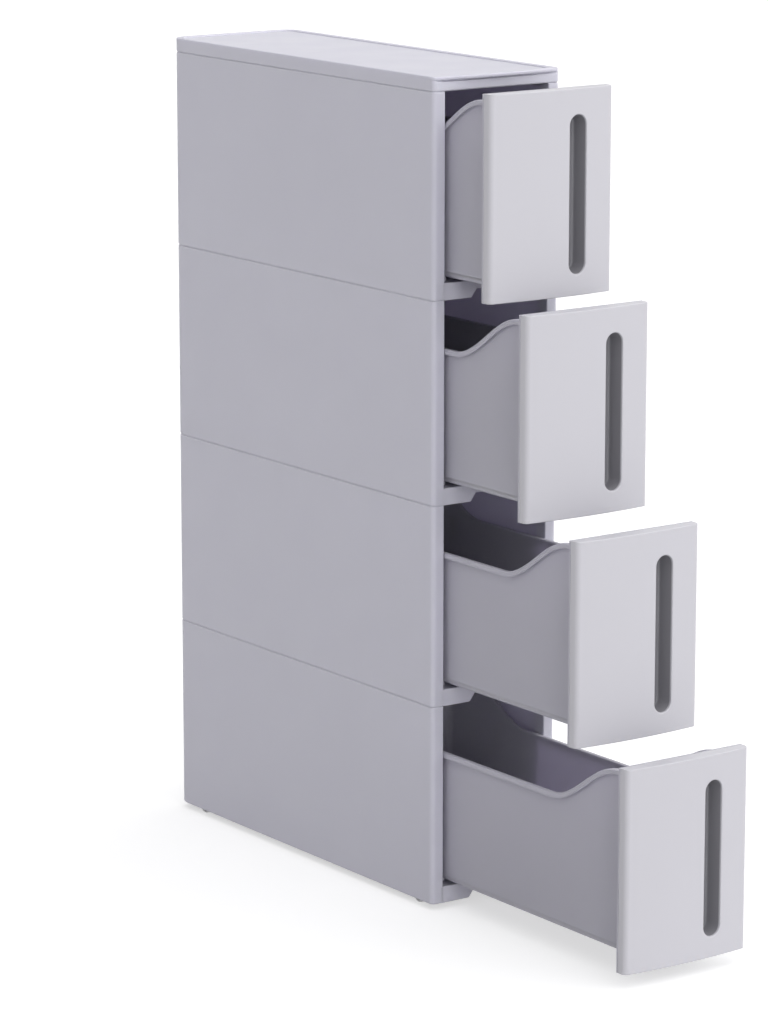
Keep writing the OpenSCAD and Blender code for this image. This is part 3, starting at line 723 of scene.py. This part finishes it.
def cut_out(shell, tool):
    """A closed shell with another one cut out of it, by Blender's exact boolean."""
    pair = []
    for points, faces in (shell, tool):
        mesh = bpy.data.meshes.new("shell")
        mesh.from_pydata(points.tolist(), [], faces)
        pair.append(bpy.data.objects.new("shell", mesh))
        bpy.context.scene.collection.objects.link(pair[-1])
    cut = pair[0].modifiers.new("window", "BOOLEAN")
    cut.operation, cut.solver, cut.object = "DIFFERENCE", "EXACT", pair[1]
    bpy.context.view_layer.update()
    result = bpy.data.meshes.new_from_object(pair[0].evaluated_get(bpy.context.evaluated_depsgraph_get()))
    out = np.empty(len(result.vertices) * 3)
    result.vertices.foreach_get("co", out)
    out_faces = [list(polygon.vertices) for polygon in result.polygons]
    # Each mesh takes its object with it
    for mesh in (pair[0].data, pair[1].data, result):
        bpy.data.meshes.remove(mesh)
    return out.reshape(-1, 3), out_faces


def drawer_place(tier):
    """The middle of the lower edge at the back of a drawer's cover, and the cover's half width, height and
    depth."""
    low, high = node_box(f"drawer_{tier}_front")
    return np.array([0.0, high[1], low[2]]), high[0], high[2] - low[2], high[1] - low[1]


def drawer_panel(sizes, half, height, side=0.0):
    """The panel of a drawer front, its two sides moved in by side, with its slot right of the middle."""
    slot_inset, slot_low, slot_high = 43.0, 20.0, height - 24.0
    radius = sizes.slot_radius * MM
    return Panel(half - side, height, half - slot_inset, slot_low + radius, slot_high - radius)


class TOWER_OT_bins(bpy.types.Operator):
    """Builds the four bins with their rolled rims and front plates"""

    bl_idname = "tower.bins"
    bl_label = "Bins"

    def execute(self, context):
        sizes = context.scene.tower_sizes
        plate_t, above, window_margin, cutter_reach = 2.2, 12.0, 2.4, 3.0
        lug_x, lug_low, lug_high = (53.7, 62.5), (344.8, 104.0), (349.8, 125.2)
        for tier in TIERS:
            node = f"drawer_{tier}_bin"
            origin, half, height, _ = drawer_place(tier)
            place = origin + [0, plate_t, above]
            length = node_box(node)[1][1] - place[1] - sizes.rim_width * MM
            panel = drawer_panel(sizes, half, height)
            window = sizes.slot_radius * MM + window_margin
            outline = panel.slot(window)[::-1] - [0, above]
            cutter = skin(np.stack([turned(outline, y, "y") for y in (-cutter_reach, cutter_reach)]))
            tub, faces = cut_out(bin_shell(sizes, length), cutter)
            plate, plate_faces = plate_shell(panel, plate_t, window)
            shells = [(tub + place, faces), (plate + origin + [0, plate_t, 0], plate_faces)]
            for side in (-1, 1):
                x = sorted(side * end for end in lug_x)
                shells.append(bar(place + [x[0], *lug_low], place + [x[1], *lug_high], 0.5))
            make_piece(node + "_moulding", shells, "bin_skin_painted_shade", f"drawer_{tier}", node)
        return {"FINISHED"}


def cover_shell(sizes, panel, depth):
    """A drawer's cover as a ring: from the slot's edge over the bowed face, round the edges, back along the
    returns, and through the hollow behind the face to the slot again."""
    bow, r, slot_r = sizes.cover_bow * MM, sizes.cover_round * MM, sizes.slot_radius * MM
    ease, thick, end, half = sizes.slot_ease * MM, 2.4, 0.8, panel.half

    def face(flat, behind=0.0):
        return turned(flat, bowed_face(flat[:, 0], half, depth, bow, r) + behind, "y")

    _, tilt = wide_arc(half, bow, r)
    levels = [face(panel.slot(slot_r), thick), face(panel.slot(slot_r), ease + 0.3)]
    levels += [face(panel.slot(slot_r + ease * out), ease * behind) for out, behind in quarter(6)]
    inner = panel.slot(slot_r + ease + 0.4)
    levels.append(face(inner))
    start = panel.edge(r * (1 - math.sin(tilt)) + 0.5, end + 0.5)
    levels += [face(inner + (start - inner) * k) for k in (0.1, 0.25, 0.4, 0.55, 0.7, 0.85, 1.0)]
    for angle in np.linspace(tilt, QUARTER, 9):
        share = (angle - tilt) / (QUARTER - tilt) * QUARTER
        flat = panel.edge(r * (1 - math.sin(angle)), end * (1 - math.sin(share)))
        levels.append(face(flat, end * (1 - math.cos(share)) * (np.abs(panel.share_x) < 0.9999)))
    levels += [turned(panel.edge(d, d), y, "y") for d, y in (
        (0, -0.9), (0, -0.4), (0.1, -0.1), (0.4, 0.0), (thick - 0.4, 0.0))]
    back = panel.edge(thick, thick)
    inside_face = np.minimum(bowed_face(back[:, 0], half, depth, bow, r) + thick, -0.8)
    levels += [turned(back, -0.4, "y"), turned(back, inside_face, "y")]
    hollow = panel.edge(thick + 3.0, thick + 1.0)
    levels += [face(inner + (hollow - inner) * k, thick) for k in (1.0, 0.75, 0.5, 0.25)]
    return skin(np.stack(levels), joined=True)


class TOWER_OT_covers(bpy.types.Operator):
    """Builds the four bowed drawer fronts with their handle slots"""

    bl_idname = "tower.covers"
    bl_label = "Drawer fronts"

    def execute(self, context):
        sizes, side_gap = context.scene.tower_sizes, 0.3
        for tier in TIERS:
            node = f"drawer_{tier}_front"
            origin, half, height, depth = drawer_place(tier)
            points, faces = cover_shell(sizes, drawer_panel(sizes, half, height, side_gap), depth)
            make_piece(node + "_cover", [(points + origin, faces)], "front_skin",
                       f"drawer_{tier}", node)
        return {"FINISHED"}


def cup_shell(sizes, panel, depth, deep):
    """A handle cup as one skin: from the middle of its bottom inside, up its wall, out over the flange behind
    the cover and back along the outside to its bottom."""
    bow, r, slot_r = sizes.cover_bow * MM, sizes.cover_round * MM, sizes.slot_radius * MM
    thick, wall, flange, bend, draft = 2.4, CUP_WALL, 4.0, 1.8, 1.5

    def behind(radius, more):
        flat = panel.slot(radius)
        return turned(flat, bowed_face(flat[:, 0], panel.half, depth, bow, r) + thick + more, "y")

    def at(radius, y):
        return turned(panel.slot(radius), y, "y")

    low_r = slot_r - draft
    levels = [at(low_r - bend - 1.5, deep), at(low_r - bend - 0.4, deep)]
    levels += [at(low_r - bend * inward, deep - bend * ahead) for ahead, inward in quarter(6)]
    levels.append(at(low_r, deep - bend - 0.5))
    levels += [behind(slot_r + out, more) for out, more in (
        (0.0, 0.5), (0.05, 0.15), (0.3, 0.03), (flange - 0.3, 0.03), (flange, 0.3), (flange, 1.3),
        (flange - 0.3, 1.6), (wall + 0.5, 1.6), (wall + 0.1, 1.7), (wall, 2.1))]
    levels.append(at(slot_r + wall, deep - bend))
    outer = bend + wall - 0.4
    levels += [at(slot_r + wall - outer * inward, deep + wall - outer * ahead)
               for inward, ahead in quarter(5)[1:]]
    levels.append(at(slot_r - bend - 1.0, deep + wall))
    return skin(np.stack(levels))


class TOWER_OT_cups(bpy.types.Operator):
    """Builds the four dark handle cups behind the slots"""

    bl_idname = "tower.cups"
    bl_label = "Handle cups"

    def execute(self, context):
        sizes = context.scene.tower_sizes
        for tier in TIERS:
            node = f"drawer_{tier}_handle_cup"
            origin, half, height, depth = drawer_place(tier)
            deep = node_box(node)[1][1] - origin[1] - CUP_WALL
            points, faces = cup_shell(sizes, drawer_panel(sizes, half, height), depth, deep)
            make_piece(node + "_tub", [(points + origin, faces)], "cup_skin",
                       f"drawer_{tier}", node)
        return {"FINISHED"}


class TOWER_OT_wheels(bpy.types.Operator):
    """Builds the four wheels with their ribs and the axles with their button heads"""

    bl_idname = "tower.wheels"
    bl_label = "Wheels"

    def execute(self, context):
        for wheel in WHEELS:
            node = "wheel_" + wheel
            low, high = node_box(node)
            middle, radius, edge = (low + high) / 2, (high[2] - low[2]) / 2, (high[0] - low[0]) / 2
            bore, hub, hub_end, web, tread = 2.58, 4.0, edge - 0.8, 0.8, radius - 1.7
            inner = [(bore, -hub_end), (hub, -hub_end), (hub, -web), (tread, -web), (tread, -edge),
                     (radius, -edge)]
            corners = inner + [(r, -along) for r, along in inner[::-1]]
            radii = [0.25, 0.35, 0.5, 0.5, 0.3, 1.0]
            section = rounded(corners, radii + radii[::-1], 4, 0.2)
            shells = [skin(spun(section, middle), joined=True, flip=True)]
            rib_half, rib_t, into_hub, into_tread, ribs = hub_end - 0.3, 1.0, 0.6, 0.5, 6
            rib_low = (-rib_half, hub - into_hub, -rib_t / 2)
            rib, rib_faces = bar(rib_low, (rib_half, tread + into_tread, rib_t / 2), 0.2)
            for turn in np.arange(ribs) * 2 * math.pi / ribs:
                across, up = math.cos(turn), math.sin(turn)
                spin = np.array([[1, 0, 0], [0, across, up], [0, -up, across]])
                shells.append((rib @ spin + middle, rib_faces))
            make_piece(node + "_roller", shells, "wheel_skin", node, node)

            node = "axle_" + wheel
            low, high = node_box(node)
            side = -1.0 if wheel.endswith("left") else 1.0
            shaft, button, head = 2.5, 3.4, 1.5
            length = high[0] - low[0]
            corners = [(0.6, 0), (shaft, 0), (shaft, length - head), (button, length - head),
                       (button, length), (0.6, length)]
            profile = rounded(corners, [0, 0.4, 0.15, 0.3, 0.5, 0], 4, 0.2, closed=False) * [1, side]
            start = high[0] if side < 0 else low[0]
            ring = spun(profile, (start, middle[1], middle[2]), 48)
            pin = [skin(ring, flip=side > 0)]
            make_piece(node + "_pin", pin, "wheel_skin", "tower", node)
        return {"FINISHED"}


# Studio


def floor_material():
    """Pale studio floor: it shows the object's shadow, lightened where the camera or a reflection sees it."""
    glow_seen = 0.56
    made = bpy.data.materials.new("studio_floor")
    made.use_nodes = True
    nodes, link = made.node_tree.nodes, made.node_tree.links.new
    shader = nodes["Principled BSDF"]
    fill(shader, {"Base Color": (0.60, 0.60, 0.605, 1.0), "Roughness": 0.9, "Specular IOR Level": 0.0})
    path = add_node(nodes, "LightPath")
    seen = add_node(nodes, "Math", operation="MAXIMUM")
    link(path.outputs["Is Camera Ray"], seen.inputs[0])
    link(path.outputs["Is Glossy Ray"], seen.inputs[1])
    glow = add_node(nodes, "Emission", {"Color": (1.0, 1.0, 1.0, 1.0)})
    lift = add_node(nodes, "Math", {1: glow_seen}, "MULTIPLY")
    link(seen.outputs[0], lift.inputs[0])
    link(lift.outputs[0], glow.inputs["Strength"])
    total = add_node(nodes, "AddShader")
    link(shader.outputs["BSDF"], total.inputs[0])
    link(glow.outputs["Emission"], total.inputs[1])
    link(total.outputs[0], nodes["Material Output"].inputs["Surface"])
    return made


def light_world(low, high, focus, gleam, window):
    """A pale sky, dim at the left and back and bright at the front, above and a little to the right, with a
    soft window low at the left of the front: low + high * max(0, direction . focus)
    + gleam * max(0, direction . window)^200. The camera sees it white, and reflections at least white."""
    world = bpy.data.worlds.new("studio_sky")
    world.use_nodes = True
    nodes, link = world.node_tree.nodes, world.node_tree.links.new

    def math_node(operation, *values):
        made = add_node(nodes, "Math", operation=operation)
        for index, value in enumerate(values):
            if isinstance(value, float):
                made.inputs[index].default_value = value
            else:
                link(value, made.inputs[index])
        return made.outputs[0]

    place, path = add_node(nodes, "TexCoord"), add_node(nodes, "LightPath")

    def toward(direction):
        facing = add_node(nodes, "VectorMath", {1: Vector(direction).normalized()}, "DOT_PRODUCT")
        link(place.outputs["Generated"], facing.inputs[0])
        return math_node("MAXIMUM", facing.outputs["Value"], 0.0)

    tightness = 200.0
    glow = math_node("MULTIPLY_ADD", toward(focus), high, low)
    glow = math_node("MULTIPLY_ADD", math_node("POWER", toward(window), tightness), gleam, glow)
    hidden = math_node("SUBTRACT", 1.0, path.outputs["Is Camera Ray"])
    seen = math_node("MAXIMUM", path.outputs["Is Camera Ray"], path.outputs["Is Glossy Ray"])
    seen = math_node("MAXIMUM", seen, path.outputs["Is Transmission Ray"])
    strength = math_node("MAXIMUM", math_node("MULTIPLY", glow, hidden), seen)
    sky = nodes["Background"]
    fill(sky, {"Color": (1.0, 1.0, 1.0, 1.0)})
    link(strength, sky.inputs["Strength"])
    bpy.context.scene.world = world


def add_camera():
    """The camera of the photograph's view: its turn, tilt, distance and lens."""
    yaw, pitch, distance, side = math.radians(35.355), math.radians(12.08), 4.2, 0.02472
    half_depth, aim_height, film = 0.225, 0.34088, 36.0
    focal_pixels, picture_height = 4228.9, 1016.0
    casing_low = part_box("casing_4")[0]
    aim = Vector((0.0, casing_low[1] + half_depth, casing_low[2] + aim_height))
    aim += Vector((math.cos(yaw), -math.sin(yaw), 0.0)) * side
    ahead = Vector((math.sin(yaw) * math.cos(pitch), math.cos(yaw) * math.cos(pitch), -math.sin(pitch)))
    data = bpy.data.cameras.new("view_camera")
    data.sensor_fit = "VERTICAL"
    data.sensor_height = film
    data.lens = focal_pixels / picture_height * film
    data.clip_end = 60.0
    made = bpy.data.objects.new("view_camera", data)
    made.location = aim - ahead * distance
    made.rotation_euler = ahead.to_track_quat("-Z", "Y").to_euler()
    bpy.context.scene.collection.objects.link(made)
    bpy.context.scene.camera = made


class TOWER_OT_studio(bpy.types.Operator):
    """Builds the pale floor, the soft studio light and the camera"""

    bl_idname = "tower.studio"
    bl_label = "Studio"

    def execute(self, context):
        mesh = bpy.data.meshes.new("studio_floor")
        size = 14.0
        corners = [(-size, -size, 0), (size, -size, 0), (size, size, 0), (-size, size, 0)]
        mesh.from_pydata(corners, [], [(0, 1, 2, 3)])
        mesh.materials.append(floor_material())
        floor = bpy.data.objects.new("studio_floor", mesh)
        context.scene.collection.objects.link(floor)
        light_world(low=0.37, high=1.33, focus=(0.38, -0.66, 0.64), gleam=9.0, window=(-0.36, -0.93, 0.06))
        add_camera()
        context.scene.view_settings.view_transform = "Standard"
        return {"FINISHED"}


class TOWER_PT_panel(bpy.types.Panel):
    """Lists the tower's steps and settings"""

    bl_idname = "TOWER_PT_panel"
    bl_label = "Storage Tower"
    bl_space_type = "VIEW_3D"
    bl_region_type = "UI"
    bl_category = "Storage Tower"

    def draw(self, context):
        for step in STEPS:
            self.layout.operator(step.bl_idname)
        for group in (context.scene.tower_sizes, context.scene.tower_colours):
            for name in group.__annotations__:
                self.layout.prop(group, name)


STEPS = (TOWER_OT_casings, TOWER_OT_lid, TOWER_OT_bins, TOWER_OT_covers, TOWER_OT_cups, TOWER_OT_wheels,
         TOWER_OT_studio)
CLASSES = (TowerSizes, TowerColours, *STEPS, TOWER_PT_panel)


def register():
    for item in CLASSES:
        bpy.utils.register_class(item)
    bpy.types.Scene.tower_sizes = bpy.props.PointerProperty(type=TowerSizes)
    bpy.types.Scene.tower_colours = bpy.props.PointerProperty(type=TowerColours)


def unregister():
    del bpy.types.Scene.tower_colours
    del bpy.types.Scene.tower_sizes
    for item in reversed(CLASSES):
        bpy.utils.unregister_class(item)


def main():
    register()
    bpy.ops.tower.casings()
    bpy.ops.tower.lid()
    bpy.ops.tower.bins()
    bpy.ops.tower.covers()
    bpy.ops.tower.cups()
    bpy.ops.tower.wheels()
    bpy.ops.tower.studio()


if __name__ == "__main__":
    main()
